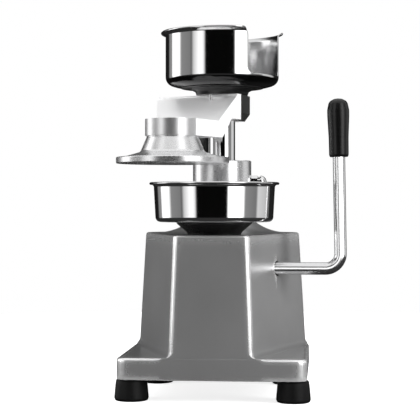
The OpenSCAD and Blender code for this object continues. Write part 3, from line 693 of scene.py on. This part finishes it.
# The bin's outer underside gets the painted-shade copy of the stainless.
second_finish(BIN_SKIN, SHADED_UNDERSIDE,
              lambda c, n: c.z < 0.4295 and n.z < -0.3 and (c - POST).xy.dot(n.xy) > -0.01)
FACE_OUT = Matrix.Rotation(OPEN, 3, "Z") @ Vector((0.973, 0.232, 0))
second_finish(ARM, HUB_FACE,
              lambda c, n: (abs((c - HUB).xy.length - HUB_R * MM) < 1.3 * MM and abs(n.z) < 0.6
                            and c.z < 0.3645))
# The arm block's side face and its lower chamfer get the painted-shade finish.
second_finish(ARM, SHADED_ARM_FACE, lambda c, n: n.dot(FACE_OUT) > 0.96 and c.z > 0.3801
              or (n.dot(FACE_OUT) > 0.3 and n.z < -0.3 and (c - POST).dot(FACE_OUT) > 0.02))


# ---------------------------------------------------------------- studio
def floor():
    bm = bmesh.new()
    rows = [[bm.verts.new((r * math.cos(math.tau * k / 96), r * math.sin(math.tau * k / 96), 0))
             for k in range(96)] for r in (0.02, 0.3, 0.8, 1.3)]
    for a, b in zip(rows, rows[1:]):
        bridge(bm, a, b)
    bm.faces.new(rows[0])
    bmesh.ops.recalc_face_normals(bm, faces=bm.faces)
    mesh = bpy.data.meshes.new("floor")
    bm.to_mesh(mesh)
    bm.free()
    obj = bpy.data.objects.new("floor", mesh)
    bpy.context.scene.collection.objects.link(obj)
    mat = bpy.data.materials.new("paper")
    mat.use_nodes = True
    nodes, links = mat.node_tree.nodes, mat.node_tree.links
    bsdf = nodes["Principled BSDF"]
    bsdf.inputs["Base Color"].default_value = (0.9, 0.9, 0.9, 1)
    bsdf.inputs["Roughness"].default_value = 0.9
    bsdf.inputs["Specular IOR Level"].default_value = 0.0
    bsdf.inputs["Emission Color"].default_value = (1, 1, 1, 1)
    glow = nodes.new("ShaderNodeMapRange")
    glow.inputs["To Min"].default_value = 0.25
    glow.inputs["To Max"].default_value = 0.82
    dark = nodes.new("ShaderNodeBsdfDiffuse")
    dark.inputs["Color"].default_value = (0.03, 0.03, 0.03, 1)
    path = nodes.new("ShaderNodeLightPath")
    links.new(path.outputs["Is Camera Ray"], glow.inputs["Value"])
    links.new(glow.outputs["Result"], bsdf.inputs["Emission Strength"])
    mix = nodes.new("ShaderNodeMixShader")
    links.new(path.outputs["Is Glossy Ray"], mix.inputs[0])
    links.new(bsdf.outputs[0], mix.inputs[1])
    links.new(dark.outputs[0], mix.inputs[2])
    links.new(mix.outputs[0], nodes["Material Output"].inputs[0])
    mesh.materials.append(mat)
    return obj


floor()


def studio_world():
    """White to the camera; upright light and dark bands for the mirrors; even light for the rest."""
    world = bpy.data.worlds.new("studio")
    bpy.context.scene.world = world
    world.use_nodes = True
    nodes, links = world.node_tree.nodes, world.node_tree.links
    nodes.clear()
    out = nodes.new("ShaderNodeOutputWorld")
    coord = nodes.new("ShaderNodeTexCoord")
    split = nodes.new("ShaderNodeSeparateXYZ")
    links.new(coord.outputs["Generated"], split.inputs[0])
    flip = nodes.new("ShaderNodeMath")
    flip.operation = "MULTIPLY"
    flip.inputs[1].default_value = -1
    links.new(split.outputs[1], flip.inputs[0])
    turn = nodes.new("ShaderNodeMath")
    turn.operation = "ARCTAN2"
    links.new(split.outputs[0], turn.inputs[0])
    links.new(flip.outputs[0], turn.inputs[1])
    scale = nodes.new("ShaderNodeMath")
    scale.operation = "MULTIPLY_ADD"
    scale.inputs[1].default_value = 1 / math.tau
    scale.inputs[2].default_value = 0.5
    links.new(turn.outputs[0], scale.inputs[0])
    bands = nodes.new("ShaderNodeValToRGB")
    stops = [(-180, 0.01), (-134, 0.012), (-128, 0.3), (-119, 0.3), (-114, 1.7), (-94, 1.7),
             (-86, 0.3), (-63, 0.24), (-60, 0.12), (-55, 0.75), (-40, 1.5), (-33, 1.1), (-29, 0.002),
             (29, 0.002), (33, 2.6), (58, 2.6), (66, 0.3), (92, 0.22), (97, 0.8), (126, 0.6),
             (136, 0.02), (180, 0.01)]           # degrees from the front, brightness
    ramp = bands.color_ramp
    while len(ramp.elements) < len(stops):
        ramp.elements.new(1.0)
    for el, (deg, value) in zip(ramp.elements, stops):
        el.position = deg / 360 + 0.5
        el.color = (value, value, value, 1)
    links.new(scale.outputs[0], bands.inputs[0])
    top = nodes.new("ShaderNodeMapRange")
    top.inputs["From Min"].default_value = 0.55
    top.inputs["From Max"].default_value = 0.75
    links.new(split.outputs[2], top.inputs["Value"])
    over = nodes.new("ShaderNodeMix")
    over.data_type = "RGBA"
    over.inputs[7].default_value = (0.95, 0.95, 0.95, 1)
    links.new(top.outputs["Result"], over.inputs[0])
    links.new(bands.outputs[0], over.inputs[6])
    low = nodes.new("ShaderNodeMapRange")
    low.inputs["From Min"].default_value = -0.14
    low.inputs["From Max"].default_value = -0.2
    links.new(split.outputs[2], low.inputs["Value"])
    under = nodes.new("ShaderNodeMix")
    under.data_type = "RGBA"
    under.inputs[7].default_value = (0.02, 0.02, 0.02, 1)
    links.new(low.outputs["Result"], under.inputs[0])
    links.new(over.outputs[2], under.inputs[6])
    path = nodes.new("ShaderNodeLightPath")
    soft = nodes.new("ShaderNodeMix")
    soft.data_type = "RGBA"
    soft.inputs[6].default_value = (0.22, 0.22, 0.22, 1)
    links.new(path.outputs["Is Glossy Ray"], soft.inputs[0])
    links.new(under.outputs[2], soft.inputs[7])
    seen = nodes.new("ShaderNodeMix")
    seen.data_type = "RGBA"
    seen.inputs[7].default_value = (1.0, 1.0, 1.0, 1)
    links.new(path.outputs["Is Camera Ray"], seen.inputs[0])
    links.new(soft.outputs[2], seen.inputs[6])
    back = nodes.new("ShaderNodeBackground")
    links.new(seen.outputs[2], back.inputs["Color"])
    links.new(back.outputs[0], out.inputs[0])


studio_world()


def softbox(name, place, aim, size, power, only=None, mirrored=False):
    """An area lamp. With only, it lights that one piece. With mirrored, its reflection is seen."""
    lamp = bpy.data.lights.new(name, "AREA")
    lamp.shape = "RECTANGLE"
    lamp.size, lamp.size_y = size
    lamp.energy = power
    obj = bpy.data.objects.new(name, lamp)
    bpy.context.scene.collection.objects.link(obj)
    obj.location = place
    obj.rotation_euler = (Vector(aim) - Vector(place)).to_track_quat("-Z", "Y").to_euler()
    obj.visible_glossy = mirrored
    obj.visible_camera = False
    if only:
        group = bpy.data.collections.new(name + "_on")
        group.objects.link(only)
        obj.light_linking.receiver_collection = group


SIDE, FLANK = (0.7, 1.2), (0.3, 0.9)
ROD = NODES["lever_rod"]
softbox("key_right", (1.6, -0.6, 0.75), (0, 0, 0.25), SIDE, 34)
softbox("fill_left", (-1.6, -0.35, 0.7), (0, 0, 0.25), SIDE, 17)
softbox("top", (0, -0.1, 1.7), (0, 0, 0.3), (1.4, 1.4), 13)
softbox("arm_front", (-0.5, -1.5, 0.9), (-0.05, 0, 0.38), (0.5, 0.5), 3.6, ARM)
softbox("flank_right", (1.1, -0.5, 0.3), (0.05, 0, 0.15), FLANK, 6, BASE, mirrored=True)
softbox("flank_left", (-1.2, -0.5, 0.3), (-0.05, 0, 0.15), FLANK, 4, BASE, mirrored=True)
softbox("rod_front", (0.75, -1.15, 0.28), (0.15, 0, 0.25), (2.4, 0.8), 9, ROD, mirrored=True)

SENSOR, FOCAL = 36, 1317.7 / 420      # the focal length as a multiple of the picture's width
camera_data = bpy.data.cameras.new("camera")
camera_data.sensor_width = SENSOR
camera_data.lens = FOCAL * SENSOR
camera_data.clip_start = 0.05
camera_data.clip_end = 20
camera = bpy.data.objects.new("camera", camera_data)
bpy.context.scene.collection.objects.link(camera)
TURN, TILT, AWAY = 0.08871, 0.00577, 1.7271
target = BOWL + Vector((-0.0057587, 0, 0.2451))
camera.location = target + AWAY * Vector((math.sin(TURN) * math.cos(TILT),
                                          -math.cos(TURN) * math.cos(TILT), math.sin(TILT)))
camera.rotation_euler = (target - camera.location).to_track_quat("-Z", "Y").to_euler()
bpy.context.scene.camera = camera
bpy.context.scene.view_settings.view_transform = "Standard"
